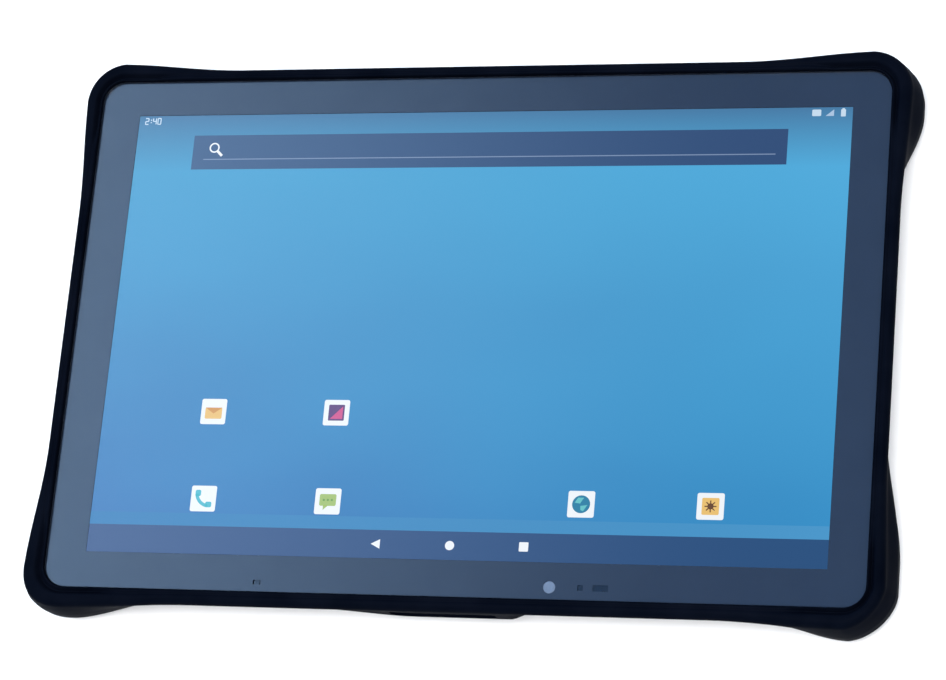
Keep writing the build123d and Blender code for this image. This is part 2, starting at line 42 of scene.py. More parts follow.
# ---------------------------------------------------------------- sizes shared with the CAD source, mm
POCKET_HALF = (120.4, 78.9)      # rubber edge around the glass
POCKET_R = 6.8
WALL_HALF = (119.0, 77.5)        # inside of the rubber wall, round the housing
WALL_R = 5.7
UNDER_HALF = (115.2, 73.7)       # opening of the rubber at the back
UNDER_R = 5.4
Z_LEDGE = 16.15                  # underside of the printed border, where the rubber carries the glass
Z_POCKET = 17.3                  # top of the upright wall round the glass
Z_LIP = 18.4
Z_WIDEST = 16.0
Z_RETURN = 6.4                   # top of the flange that holds the back of the housing
FLANGE_EDGE = 0.3                # chamfer at the inner edge of that flange
FOOT_H = 1.4
FOOT_TOP = 2.0                   # the bottom edge is rounded below this height
FOOT_ROUND = 1.5
SIDE = (123.8, 82.2)
LOWER_EDGE = 0.9                 # the lower long side and the right side stand this much further out
RIGHT_EDGE = 0.4
# corner curve by the signs of x and y: 2 is an ellipse, more is fuller at the diagonal
ROUNDNESS = {(1, 1): 2.0, (-1, 1): 2.0, (-1, -1): 2.5, (1, -1): 1.7}
# extra reach of each corner guard along x, and its largest half length
GUARD_TRIM = {(1, 1): 0.0, (-1, 1): -0.5, (-1, -1): 0.7, (1, -1): -0.7}
GUARD_LIMIT = 128.15
SLOPE = math.tan(math.radians(18))
RIM_X = (76.0, 118.0)            # corner guard ramps along the long and short sides
RIM_Y = (36.0, 76.0)
BELLY_X = {"top": (93.0, 111.0), "bottom": (85.0, 115.0)}
BELLY_Y = {
    ("right", 1): (43.0, 69.0),
    ("left", 1): (43.0, 69.0),
    ("right", -1): (21.0, 64.0),
    ("left", -1): (34.0, 61.0),
}
DOCK_FACE = 83.0                 # raised land round the docking contacts
DOCK_RISE = 1.6
DOCK_SLOT_HALF = 15.6
DOCK_SLOT_Z = (10.2, 13.8)
LAND_Z = (4.2, 15.4)
LAND_INSET = 0.5
LAND_MARGIN = 4.0
Z_PORT = 9.65
FIT = 0.3                        # gap round a door or a key
PIN_GAP = 1.4                    # room past a door's hinge pin
DOOR_HALF = 3.3
KEY_HALF = 2.3
MICROPHONE_R = 1.0
FRONT_CAMERA = (31.3, -75.0)
ACTIVE_HALF = (108.48, 67.8)
ACTIVE_X = 0.5                   # the picture sits this far right of the middle of the glass
PICTURE_HALF = (108.6, 67.9)     # the lit sheet, just larger than the window in the border
# hinge place along the side and reach from it to the free end
DOORS = {"port_door_a": (-84.0, 36.0), "port_door_b": (84.0, -36.0)}
CARD_DOOR = (-52.0, 34.0)
# middle and length along the left side
KEYS = {
    "power_key": (32.0, 11.0),
    "volume_up_key": (18.5, 9.0),
    "volume_down_key": (7.5, 9.0),
    "function_key": (-5.5, 9.0),
}


# ---------------------------------------------------------------- materials
def srgb(r, g, b):
    """Linear colour from 0-255 display values."""
    out = []
    for c in (r, g, b):
        c = c / 255
        out.append(c / 12.92 if c <= 0.04045 else ((c + 0.055) / 1.055) ** 2.4)
    return (*out, 1.0)


class Build:
    """Small helper that adds nodes to one material."""

    def __init__(self, name):
        self.mat = bpy.data.materials.new(name)
        self.mat.use_nodes = True
        self.tree = self.mat.node_tree
        self.tree.nodes.clear()
        self.out = self.add("ShaderNodeOutputMaterial")
        self.coords = self.add("ShaderNodeTexCoord").outputs["Object"]

    def add(self, kind, **settings):
        node = self.tree.nodes.new(kind)
        for key, value in settings.items():
            setattr(node, key, value)
        return node

    def link(self, a, b):
        self.tree.links.new(a, b)

    def noise(self, scale, detail=3.0, rough=0.55, stretch=None):
        """Noise whose scale is in cells per metre."""
        source = self.coords
        if stretch:
            mapping = self.add("ShaderNodeMapping")
            mapping.inputs["Scale"].default_value = stretch
            self.link(source, mapping.inputs["Vector"])
            source = mapping.outputs["Vector"]
        node = self.add("ShaderNodeTexNoise")
        node.inputs["Scale"].default_value = scale
        node.inputs["Detail"].default_value = detail
        node.inputs["Roughness"].default_value = rough
        self.link(source, node.inputs["Vector"])
        return node.outputs["Fac"]

    def remap(self, value, low, high, to_low, to_high):
        node = self.add("ShaderNodeMapRange")
        node.inputs["From Min"].default_value = low
        node.inputs["From Max"].default_value = high
        node.inputs["To Min"].default_value = to_low
        node.inputs["To Max"].default_value = to_high
        self.link(value, node.inputs["Value"])
        return node.outputs["Result"]

    def mix(self, factor, a, b):
        node = self.add("ShaderNodeMix", data_type="RGBA")
        for socket, value in ((node.inputs[6], a), (node.inputs[7], b)):
            if isinstance(value, tuple):
                socket.default_value = value
            else:
                self.link(value, socket)
        if isinstance(factor, (int, float)):
            node.inputs[0].default_value = factor
        else:
            self.link(factor, node.inputs[0])
        return node.outputs[2]


BLOTCH = 60.0                    # broad blotches of tone per metre
ROUGH_SPREAD = 0.08
LEAST_LIGHT = 0.001              # keeps the blotches visible on a nearly black finish


def surface(name, colour, rough=0.5, metal=0.0, grain=900.0, grain_depth=0.02, shade=0.12, stretch=None,
            coat=0.0, coat_rough=0.15, specular=0.5):
    """Opaque finish with fine grain, faint blotches of tone and uneven gloss."""
    b = Build(name)
    shader = b.add("ShaderNodeBsdfPrincipled")
    fine = b.noise(grain, 4.0, 0.6, stretch)
    broad = b.noise(BLOTCH, 3.0)
    dark = tuple(c * (1 - shade) for c in colour[:3]) + (1.0,)
    light = tuple(min(1.0, c * (1 + shade) + LEAST_LIGHT) for c in colour[:3]) + (1.0,)
    tone = b.mix(b.remap(broad, 0.3, 0.7, 0.0, 1.0), dark, light)
    b.link(tone, shader.inputs["Base Color"])
    uneven = b.remap(broad, 0.25, 0.75, rough - ROUGH_SPREAD, rough + ROUGH_SPREAD)
    b.link(uneven, shader.inputs["Roughness"])
    shader.inputs["Metallic"].default_value = metal
    shader.inputs["Coat Weight"].default_value = coat
    shader.inputs["Coat Roughness"].default_value = coat_rough
    shader.inputs["Specular IOR Level"].default_value = specular
    bump = b.add("ShaderNodeBump")
    bump.inputs["Strength"].default_value = 0.35
    bump.inputs["Distance"].default_value = grain_depth * MM
    b.link(fine, bump.inputs["Height"])
    b.link(bump.outputs["Normal"], shader.inputs["Normal"])
    b.link(shader.outputs["BSDF"], b.out.inputs["Surface"])
    return b.mat


RIM_GLOSS = 0.2                  # share of the mirror left on the rim of the cover glass


def clear_glass(name, tint, rough, ior, rim_only=False):
    """Clear sheet with a mirror layer. With rim_only the flat faces have no mirror of their own, because the
    printed border and the picture just under the glass carry the gloss."""
    b = Build(name)
    through = b.add("ShaderNodeBsdfTransparent")
    through.inputs["Color"].default_value = tint
    gloss = b.add("ShaderNodeBsdfGlossy")
    gloss.inputs["Color"].default_value = (1.0, 1.0, 1.0, 1.0)
    gloss.inputs["Roughness"].default_value = rough
    fresnel = b.add("ShaderNodeFresnel")
    fresnel.inputs["IOR"].default_value = ior
    amount = fresnel.outputs["Fac"]
    if rim_only:
        geometry = b.add("ShaderNodeNewGeometry")
        split = b.add("ShaderNodeSeparateXYZ")
        b.link(geometry.outputs["Normal"], split.inputs["Vector"])
        upright = b.add("ShaderNodeMath", operation="ABSOLUTE")
        b.link(split.outputs["Z"], upright.inputs[0])
        rim = b.remap(upright.outputs["Value"], 0.8, 0.98, RIM_GLOSS, 0.0)
        product = b.add("ShaderNodeMath", operation="MULTIPLY")
        b.link(amount, product.inputs[0])
        b.link(rim, product.inputs[1])
        amount = product.outputs["Value"]
    mixer = b.add("ShaderNodeMixShader")
    b.link(amount, mixer.inputs["Fac"])
    b.link(through.outputs["BSDF"], mixer.inputs[1])
    b.link(gloss.outputs["BSDF"], mixer.inputs[2])
    b.link(mixer.outputs["Shader"], b.out.inputs["Surface"])
    return b.mat


def picture_shader(b):
    """Dark base with a glass-like coat, ready for an emission colour."""
    shader = b.add("ShaderNodeBsdfPrincipled")
    shader.inputs["Base Color"].default_value = (0.004, 0.005, 0.008, 1.0)
    shader.inputs["Roughness"].default_value = 0.6
    shader.inputs["Specular IOR Level"].default_value = 0.0
    shader.inputs["Coat Weight"].default_value = 1.0
    shader.inputs["Coat Roughness"].default_value = GLASS_ROUGH
    shader.inputs["Emission Strength"].default_value = 1.0
    b.link(shader.outputs["BSDF"], b.out.inputs["Surface"])
    return shader


def lit(name, colour, second=None):
    """Part of the lit picture. A second colour fades in towards the right-hand side."""
    b = Build(name)
    shader = picture_shader(b)
    split = b.add("ShaderNodeSeparateXYZ")
    b.link(b.coords, split.inputs["Vector"])
    across = b.remap(split.outputs["X"], -ACTIVE_HALF[0] * MM, ACTIVE_HALF[0] * MM, 0.0, 1.0)
    b.link(b.mix(across, colour, second or colour), shader.inputs["Emission Color"])
    return b.mat


def wallpaper(name):
    """Soft blue picture: four corner colours blended, with very slow swirls of tone and a shaded top."""
    b = Build(name)
    shader = picture_shader(b)
    split = b.add("ShaderNodeSeparateXYZ")
    b.link(b.coords, split.inputs["Vector"])
    across = b.remap(split.outputs["X"], -ACTIVE_HALF[0] * MM, ACTIVE_HALF[0] * MM, 0.0, 1.0)
    up = b.remap(split.outputs["Y"], -ACTIVE_HALF[1] * MM, ACTIVE_HALF[1] * MM, 0.0, 1.0)
    top = b.mix(across, WALL_TL, WALL_TR)
    low = b.mix(across, WALL_BL, WALL_BR)
    blend = b.mix(up, low, top)
    swirl = b.remap(b.noise(9.0, 2.0, 0.5, (1.0, 2.2, 1.0)), 0.35, 0.7, 0.0, 0.16)
    blend = b.mix(swirl, blend, WALL_SWIRL)
    top_edge = ACTIVE_HALF[1] * MM
    scrim = b.remap(split.outputs["Y"], top_edge - SCRIM_DEPTH * MM, top_edge, 0.0, SCRIM_TOP)
    blend = b.mix(scrim, blend, WALL_SCRIM)
    b.link(blend, shader.inputs["Emission Color"])
    return b.mat


GLASS_ROUGH = 0.02
WALL_TL = srgb(70, 160, 202)
WALL_TR = srgb(84, 177, 224)
WALL_BL = srgb(50, 108, 174)
WALL_BR = srgb(42, 135, 193)
WALL_SWIRL = srgb(76, 184, 232)
WALL_SCRIM = srgb(64, 100, 142)
SCRIM_DEPTH = 18.0               # shading under the status row, mm
SCRIM_TOP = 0.77

M = {
    "rubber": surface("bumper_rubber", srgb(3, 6, 15), grain=2600, grain_depth=0.03, shade=0.2,
                      specular=0.004),
    "door": surface("door_rubber", srgb(8, 12, 22), grain=2200, grain_depth=0.03, shade=0.18, specular=0.03),
    "key": surface("key_rubber", srgb(30, 33, 40), grain=1800, grain_depth=0.015, shade=0.1, specular=0.15),
    "power": surface("power_key_rubber", srgb(150, 28, 20), grain=1800, grain_depth=0.015, shade=0.1,
                     specular=0.15),
    "housing": surface("housing_plastic", srgb(33, 36, 42), 0.55, grain=1500, grain_depth=0.05, shade=0.08),
    # the printed border is black; its blue-grey base colour is partly painted reflection of the bluish
    # surround seen in the glass
    "ink_and_painted_reflection": surface("border_ink", srgb(31, 43, 60), grain=500, grain_depth=0.001, shade=0.03, specular=0.0,
                   coat=1.0, coat_rough=GLASS_ROUGH),
    "film": clear_glass("touch_film", (0.97, 0.98, 0.99, 1.0), 0.05, 1.1),
    "glass": clear_glass("cover_glass", (0.985, 0.99, 0.995, 1.0), 0.3, 1.25, rim_only=True),
    "magnesium": surface("mid_frame_magnesium", srgb(92, 96, 100), 0.45, 0.8, grain=800, grain_depth=0.03),
    "tray": surface("backlight_tray", srgb(170, 174, 178), 0.35, 1.0, grain=500, stretch=(1, 30, 1)),
    "foam": surface("adhesive_foam", srgb(17, 17, 19), 0.9, grain=3000, grain_depth=0.05),
    "board": surface("circuit_board", srgb(18, 70, 44), 0.4, grain=300, shade=0.2, coat=0.3),
    "chip": surface("chip_package", srgb(24, 24, 26), 0.55, grain=2500),
    "can": surface("shield_metal", srgb(186, 188, 190), 0.32, 1.0, grain=600, stretch=(20, 1, 1)),
    "ceramic": surface("antenna_ceramic", srgb(206, 196, 176), 0.6, grain=2000),
    "flex": surface("flex_film", srgb(140, 84, 30), 0.35, grain_depth=0.01, shade=0.15),
    "cell": surface("battery_wrap", srgb(38, 40, 44), 0.38, grain=200, grain_depth=0.05, shade=0.1),
    "steel": surface("connector_steel", srgb(172, 174, 178), 0.28, 1.0, stretch=(1, 25, 1)),
    "black": surface("connector_black", srgb(15, 15, 17), 0.45, grain=2500, grain_depth=0.015),
    "gold": surface("contact_gold", srgb(222, 176, 92), 0.25, 1.0, grain=1800, grain_depth=0.004),
    "screw": surface("screw_steel", srgb(74, 76, 80), 0.38, 1.0, grain=2200, grain_depth=0.01),
    "pin": surface("pin_steel", srgb(150, 152, 156), 0.3, 1.0, grain=2000, grain_depth=0.005),
    "brass": surface("insert_brass", srgb(196, 154, 82), 0.35, 1.0, grain=1500),
    "lens": surface("lens_barrel", srgb(20, 24, 34), 0.18, grain_depth=0.002, coat=0.6),
    "lens_ring": surface("lens_ring", srgb(89, 104, 125), grain_depth=0.004, specular=0.1),
    "smoked": surface("smoked_window", srgb(12, 28, 46), grain_depth=0.002, specular=0.0, coat=1.0,
                      coat_rough=GLASS_ROUGH),
    "camera_glass": clear_glass("camera_window", (0.5, 0.56, 0.68, 1.0), 0.01, 1.7),
    "ring": surface("camera_ring", srgb(92, 96, 102), 0.28, 1.0, grain=1600, grain_depth=0.004),
    "lamp": surface("lamp_body", srgb(226, 220, 186), 0.4, grain_depth=0.01),
    "mesh": surface("speaker_mesh", srgb(58, 60, 64), 0.4, 0.9, grain=4200, grain_depth=0.08, shade=0.25),
    "mic": surface("microphone_metal", srgb(190, 178, 146), 0.3, 1.0, grain=1500, grain_depth=0.005),
    "antenna": surface("antenna_film", srgb(176, 120, 62), 0.35, 0.5, grain_depth=0.01),
}

FINISH = {
    "rubber": ["bumper_frame"],
    "door": ["port_door_a", "port_door_b", "card_door"],
    "key": ["volume_up_key", "volume_down_key", "function_key"],
    "power": ["power_key"],
    "housing": ["rear_housing"],
    "ink_and_painted_reflection": ["border_mask"],
    "glass": ["cover_glass"],
    "film": ["touch_sensor"],
    "tray": ["backlight_unit"],
    "foam": ["display_adhesive"],
    "magnesium": ["mid_frame"],
    "board": ["main_board", "dock_board", "card_board", "battery_board"],
    "chip": ["board_chips"],
    "can": ["shield_cans", "vibration_motor"],
    "ceramic": ["gnss_antenna"],
    "flex": ["display_flex", "link_flex"],
    "antenna": ["side_antennas"],
    "cell": ["battery_cells"],
    "steel": ["usb_c_shell", "hdmi_shell", "card_sockets"],
    "black": ["port_inserts", "audio_socket", "dc_socket", "dock_connector", "side_key_switches", "speakers",
              "lcd_panel"],
    "gold": ["dock_contacts"],
    "pin": ["door_pins"],
    "screw": ["housing_screws"],
    "brass": ["mount_inserts"],
    "lens": ["rear_camera"],
    "smoked": ["front_camera", "front_sensors", "status_led"],
    "camera_glass": ["rear_camera_window"],
    "ring": ["rear_camera_bezel"],
    "lamp": ["flash_led"],
    "mesh": ["speaker_meshes"],
    "mic": ["microphone"],
}


def paint(obj, mat):
    obj.data.materials.clear()
    obj.data.materials.append(mat)


for finish, names in FINISH.items():
    for name in names:
        paint(NODES[name], M[finish])


DOOR_EDGE = 0.25                 # rounding of the doors' edges


def soften(obj, width):
    """Rounds the sharp edges of a carried CAD piece."""
    weld = obj.modifiers.new("weld", "WELD")
    weld.merge_threshold = 0.002 * MM
    bevel = obj.modifiers.new("bevel", "BEVEL")
    bevel.width = width * MM
    bevel.segments = 3
    bevel.limit_method = "ANGLE"
    bevel.angle_limit = math.radians(40)
    bevel.harden_normals = False
    for polygon in obj.data.polygons:
        polygon.use_smooth = True
    weighted = obj.modifiers.new("normals", "WEIGHTED_NORMAL")
    weighted.keep_sharp = True


for name in FINISH["door"]:
    soften(NODES[name], DOOR_EDGE)

# the glass is drawn a hair inside its own faces, so that none coincides with the border under it
GLASS_INSET = 0.02
shrink = NODES["cover_glass"].modifiers.new("inset", "DISPLACE")
shrink.strength = -GLASS_INSET * MM
shrink.mid_level = 0.0


# ---------------------------------------------------------------- mesh helpers
def mesh_object(name, verts, faces, mats, material_index=None, smooth_angle=None):
    mesh = bpy.data.meshes.new(name)
    mesh.from_pydata([tuple(c * MM for c in v) for v in verts], [], faces)
    for mat in mats:
        mesh.materials.append(mat)
    if material_index is not None:
        mesh.polygons.foreach_set("material_index", material_index)
    mesh.update()
    if smooth_angle is not None:
        for polygon in mesh.polygons:
            polygon.use_smooth = True
        mesh.set_sharp_from_angle(angle=math.radians(smooth_angle))
    obj = bpy.data.objects.new(name, mesh)
    bpy.context.scene.collection.objects.link(obj)
    return obj


PLATE_THICK = 0.008


class Sheet:
    """Collects thin flat shapes, each with its own material, into one mesh."""

    def __init__(self):
        self.verts, self.faces, self.index, self.mats = [], [], [], []

    def shape(self, outline, z, mat):
        """Outline of (x, y) points, counterclockwise, as a thin plate whose top is at z."""
        if mat not in self.mats:
            self.mats.append(mat)
        slot_number = self.mats.index(mat)
        start, count = len(self.verts), len(outline)
        self.verts += [(x, y, z) for x, y in outline] + [(x, y, z - PLATE_THICK) for x, y in outline]
        self.faces.append([start + i for i in range(count)])
        self.faces.append([start + count + i for i in reversed(range(count))])
        for i in range(count):
            j = (i + 1) % count
            self.faces.append([start + i, start + count + i, start + count + j, start + j])
        self.index += [slot_number] * (count + 2)

    def build(self, name):
        return mesh_object(name, self.verts, self.faces, self.mats, self.index)


def on_circle(cx, cy, radius, degrees):
    return cx + radius * math.cos(math.radians(degrees)), cy + radius * math.sin(math.radians(degrees))


def box(x0, y0, x1, y1):
    """Outline of an upright rectangle."""
    return [(x0, y0), (x1, y0), (x1, y1), (x0, y1)]


def rounded(cx, cy, width, height, radius, steps=6):
    """Outline of a rectangle with rounded corners."""
    points = []
    for sx, sy, start in ((1, 1, 0), (-1, 1, 90), (-1, -1, 180), (1, -1, 270)):
        corner_x = cx + sx * (width / 2 - radius)
        corner_y = cy + sy * (height / 2 - radius)
        for k in range(steps + 1):
            points.append(on_circle(corner_x, corner_y, radius, start + 90 * k / steps))
    return points


def disc(cx, cy, radius, steps=32):
    return [on_circle(cx, cy, radius, 360 * k / steps) for k in range(steps)]


def ring_parts(cx, cy, outer, inner, steps, start=0.0, sweep=360.0):
    """Ring or arc cut into small four-sided shapes."""
    parts = []
    for k in range(steps):
        first = start + sweep * k / steps
        last = start + sweep * (k + 1) / steps
        parts.append([
            on_circle(cx, cy, outer, first),
            on_circle(cx, cy, outer, last),
            on_circle(cx, cy, inner, last),
            on_circle(cx, cy, inner, first),
        ])
    return parts


def bar(x0, y0, x1, y1, width):
    """Straight stroke between two points."""
    dx, dy = x1 - x0, y1 - y0
    size = math.hypot(dx, dy)
    nx, ny = -dy / size * width / 2, dx / size * width / 2
    return [(x0 - nx, y0 - ny), (x1 - nx, y1 - ny), (x1 + nx, y1 + ny), (x0 + nx, y0 + ny)]


# ---------------------------------------------------------------- rubber frame as a swept skin
def smooth(value, low, high):
    """0 below low, 1 above high, with soft ends."""
    t = min(1.0, max(0.0, (value - low) / (high - low)))
    return t * t * (3 - 2 * t)


# half sizes of the frame over its corner guards, at these heights
HEIGHTS = [0.0, FOOT_H, 4.5, 9.0, 13.0, 14.6, Z_WIDEST, Z_LIP]
GUARD_X = [124.6, 126.7, 128.0, 128.15, 127.2, 126.6, 126.2, 126.2]
GUARD_Y = [82.0, 83.9, 85.3, 85.55, 85.3, 85.1, 84.9, 84.9]


def limits(z):
    """Half sizes of the frame at height z: along the sides, and at the corner guards."""
    inset = max(0.0, (Z_WIDEST - z) * SLOPE)
    return (
        SIDE[0] - inset,
        SIDE[1] - inset,
        float(np.interp(z, HEIGHTS, GUARD_X)),
        float(np.interp(z, HEIGHTS, GUARD_Y)),
    )


GUARD_FADE = (0.5, 6.0)          # below the widest height, where the long ramp gives way to the short one


def flare(z, position, rim_ramp, belly_ramp):
    """Share of the corner guard at a place along a side: a long ramp at the rim, a short one low down."""
    rim = smooth(position, *rim_ramp)
    belly = smooth(position, *belly_ramp)
    low = smooth(Z_WIDEST - z, *GUARD_FADE)
    return rim + (belly - rim) * low


DOCK_RAMP_LEFT = (-40.0, -8.0)
DOCK_RAMP_RIGHT = (19.5, 24.5)
DOCK_RAMP_LOW = (7.4, 9.2)


def dock_swell(x, z):
    """Face of the raised land round the docking contacts."""
    along = smooth(x, *DOCK_RAMP_LEFT) * (1 - smooth(x, *DOCK_RAMP_RIGHT))
    return (DOCK_FACE - DOCK_RISE + DOCK_RISE * along) * smooth(z, *DOCK_RAMP_LOW)


ARC_CENTRE = (POCKET_HALF[0] - POCKET_R, POCKET_HALF[1] - POCKET_R)
SIDE_STEPS = (190, 130)
ARC_STEPS = 25


def stations():
    """Places round the edge, counterclockwise: (side, place along it) or ("arc", angle)."""
    side_x = list(np.linspace(-ARC_CENTRE[0], ARC_CENTRE[0], SIDE_STEPS[0]))
    side_y = list(np.linspace(-ARC_CENTRE[1], ARC_CENTRE[1], SIDE_STEPS[1]))
    arc = list(np.linspace(0, 90, ARC_STEPS))[1:-1]
    places = [("right", y) for y in side_y]
    places += [("arc", a) for a in arc]
    places += [("top", -x) for x in side_x]
    places += [("arc", 90.0 + a) for a in arc]
    places += [("left", -y) for y in side_y]
    places += [("arc", 180.0 + a) for a in arc]
    places += [("bottom", x) for x in side_x]
    places += [("arc", 270.0 + a) for a in arc]
    return places


def signs_of(angle):
    """Signs of x and y in the quadrant of an angle."""
    return (1 if math.cos(angle) > 0 else -1, 1 if math.sin(angle) > 0 else -1)


def outline_point(place, half, radius):
    """Point of a plain rounded rectangle at a station."""
    kind, value = place
    cx, cy = half[0] - radius, half[1] - radius
    if kind == "arc":
        a = math.radians(value)
        sx, sy = signs_of(a)
        return sx * cx + radius * math.cos(a), sy * cy + radius * math.sin(a)
    along_x = value * cx / ARC_CENTRE[0]
    along_y = value * cy / ARC_CENTRE[1]
    return {
        "right": (half[0], along_y),
        "left": (-half[0], along_y),
        "top": (along_x, half[1]),
        "bottom": (along_x, -half[1]),
    }[kind]


def outer_point(place, z):
    """Point of the flared outer outline at a station and height."""
    side_x, side_y, guard_x, guard_y = limits(z)
    kind, value = place
    if kind == "arc":
        a = math.radians(value)
        sx, sy = signs_of(a)
        guard_x = min(GUARD_LIMIT, guard_x + GUARD_TRIM[sx, sy])
        power = 2 / ROUNDNESS[sx, sy]
        across = abs(math.cos(a)) ** power
        along = abs(math.sin(a)) ** power
        return (
            sx * (ARC_CENTRE[0] + (guard_x - ARC_CENTRE[0]) * across),
            sy * (ARC_CENTRE[1] + (guard_y - ARC_CENTRE[1]) * along),
        )
    if kind in ("right", "left"):
        sx = 1 if kind == "right" else -1
        sy = 1 if value > 0 else -1
        guard_x = min(GUARD_LIMIT, guard_x + GUARD_TRIM[sx, sy])
        if kind == "right":
            side_x += RIGHT_EDGE
        share = flare(z, abs(value), RIM_Y, BELLY_Y[kind, sy])
        return (sx * (side_x + (guard_x - side_x) * share), value)
    share = flare(z, abs(value), RIM_X, BELLY_X[kind])
    if kind == "bottom":
        low_side = side_y + LOWER_EDGE
        return (value, -max(low_side + (guard_y - low_side) * share, dock_swell(value, z)))
    return (value, side_y + (guard_y - side_y) * share)


def corner_share(place, near_x, near_y, ramp):
    """1 in a corner, 0 along the middle of a side."""
    kind, value = place
    if kind == "arc":
        return 1.0
    start = near_y if kind in ("right", "left") else near_x
    return smooth(abs(value), start, start + ramp)


# where a corner shape starts along x and along y, and the length of its ramp
LIP_CORNER = (92.0, 48.0, 14.0)
GROOVE_CORNER = (96.0, 56.0, 10.0)
FOOT_CORNER = (96.0, 56.0, 1.2)
# shares of the lip's width, closer together where it curves most
LIP_PLACES = (0.0, 0.015, 0.045, 0.09, 0.14, 0.18, 0.22, 0.26, 0.30, 0.34, 0.38, 0.42, 0.46, 0.5, 0.55, 0.6,
              0.65, 0.7, 0.75, 0.8, 0.85, 0.9, 0.935, 0.965, 0.985, 1.0)
INNER_ROLL = 0.14                # share of the lip's width that rolls down to the glass, and how deep
INNER_DROP = 0.55
GROOVE_SIDE = 0.3                # depth of the groove along the sides, and what a corner adds
GROOVE_EXTRA = 1.5
WALL_HEIGHTS = (15.2, 14.0, 12.6, 11.0, 9.6, 9.0, 8.2, 7.4, 6.2, 4.8, 3.6, 2.6)
FOOT_STEPS = 5


def lip_height(share, corner, groove):
    """Height of the rubber at a share of the way from the glass to the outer edge."""
    shoulder = 0.46 + 0.10 * corner
    groove_place = 0.33 - 0.13 * corner
    groove_width = 0.11 + 0.01 * corner
    height = Z_LIP
    if share < INNER_ROLL:
        height -= INNER_DROP * (1 - share / INNER_ROLL) ** 2.2
    if share > shoulder:
        past = (share - shoulder) / (1 - shoulder)
        height = Z_WIDEST + (Z_LIP - Z_WIDEST) * math.sqrt(max(0.0, 1 - past**2.1))
    return height - groove * math.exp(-(((share - groove_place) / groove_width) ** 2))


def between(a, b, share):
    """Point at a share of the way from a to b, in plan."""
    return a[0] + (b[0] - a[0]) * share, a[1] + (b[1] - a[1]) * share


def section(place):
    """Closed cross-section of the rubber at one station, from the pocket over the lip and down outside."""
    corner = corner_share(place, *LIP_CORNER)
    groove = GROOVE_SIDE + GROOVE_EXTRA * corner_share(place, *GROOVE_CORNER)
    inner = outline_point(place, POCKET_HALF, POCKET_R)
    edge = outer_point(place, Z_WIDEST)
    points = [(*inner, Z_LEDGE), (*inner, Z_POCKET)]
    for share in LIP_PLACES:
        points.append((*between(inner, edge, share), lip_height(share, corner, groove)))
    for z in WALL_HEIGHTS:
        points.append((*outer_point(place, z), z))
    bottom = FOOT_H * (1 - corner_share(place, *FOOT_CORNER))
    base = outer_point(place, FOOT_TOP)
    under = outline_point(place, UNDER_HALF, UNDER_R)
    span = math.hypot(under[0] - base[0], under[1] - base[1])
    for k in range(1, FOOT_STEPS + 1):
        angle = k / FOOT_STEPS * math.pi / 2
        pull = FOOT_ROUND * (1 - math.cos(angle)) / span
        z = FOOT_TOP - (FOOT_TOP - bottom) * math.sin(angle)
        points.append((*between(outer_point(place, z), under, pull), z))
    low = points[-1]
    points.append((*between(low, under, 0.5), bottom))
    points.append((*between(under, low, 0.08), bottom))
    points.append((*under, bottom + FLANGE_EDGE))
    points.append((*under, Z_RETURN))
    wall = outline_point(place, WALL_HALF, WALL_R)
    points.append((*wall, Z_RETURN))
    points.append((*wall, Z_LEDGE))
    return points


def sweep(name, sections, mats):
    """Closed skin from cross-sections that follow each other round a loop."""
    verts, faces = [], []
    count = len(sections[0])
    for points in sections:
        verts += points
    total = len(sections)
    for i in range(total):
        j = (i + 1) % total
        for k in range(count):
            m = (k + 1) % count
            faces.append([i * count + k, i * count + m, j * count + m, j * count + k])
    return mesh_object(name, verts, faces, mats)


def solid_box(low, high, radius, axis):
    """Box whose edges along one axis are rounded, as (verts, faces)."""
    u, v = [i for i in range(3) if i != axis]
    middle = ((low[u] + high[u]) / 2, (low[v] + high[v]) / 2)
    outline = rounded(*middle, high[u] - low[u], high[v] - low[v], radius)
    verts = []
    for level in (low[axis], high[axis]):
        for a, b in outline:
            point = [0.0, 0.0, 0.0]
            point[u], point[v], point[axis] = a, b, level
            verts.append(tuple(point))
    count = len(outline)
    faces = [list(range(count)), [count + i for i in reversed(range(count))]]
    for i in range(count):
        j = (i + 1) % count
        faces.append([i, count + i, count + j, j])
    if axis != 1:
        faces = [list(reversed(face)) for face in faces]
    return verts, faces


def many_boxes(name, boxes):
    """One mesh of separate boxes, each (low corner, high corner, edge radius, axis)."""
    verts, faces = [], []
    for low, high, radius, axis in boxes:
        v, f = solid_box(low, high, radius, axis)
        start = len(verts)
        verts += v
        faces += [[start + i for i in face] for face in f]
    return mesh_object(name, verts, faces, [])


def combine(target, tool, operation):
    """Applies a boolean with a tool piece, which is then deleted."""
    modifier = target.modifiers.new("cut", "BOOLEAN")
    modifier.operation = operation
    modifier.solver = "EXACT"
    modifier.object = tool
    bpy.context.view_layer.update()
    graph = bpy.context.evaluated_depsgraph_get()
    made = bpy.data.meshes.new_from_object(target.evaluated_get(graph))
    target.modifiers.clear()
    old = target.data
    target.data = made
    bpy.data.meshes.remove(old)
    bpy.data.objects.remove(tool)


INSIDE_X = 114.8                 # how far in the cuts for doors and keys reach
INSIDE_Y = 73.3
SLOT_INSIDE_Y = 75.0             # the same for the dock slot and the microphone hole
OUTSIDE_X = 130.0
OUTSIDE_Y = 90.0
LAND_R = 1.6
DOOR_R = 0.8
KEY_R = 1.7
SLOT_R = 0.9
SKIN_CREASE = 38                 # degrees


def span_of(hinge, reach, past_hinge, past_end):
    """Ends of a door's stretch along its side, widened at the hinge and at the free end."""
    return sorted((hinge - math.copysign(past_hinge, reach), hinge + reach + math.copysign(past_end, reach)))


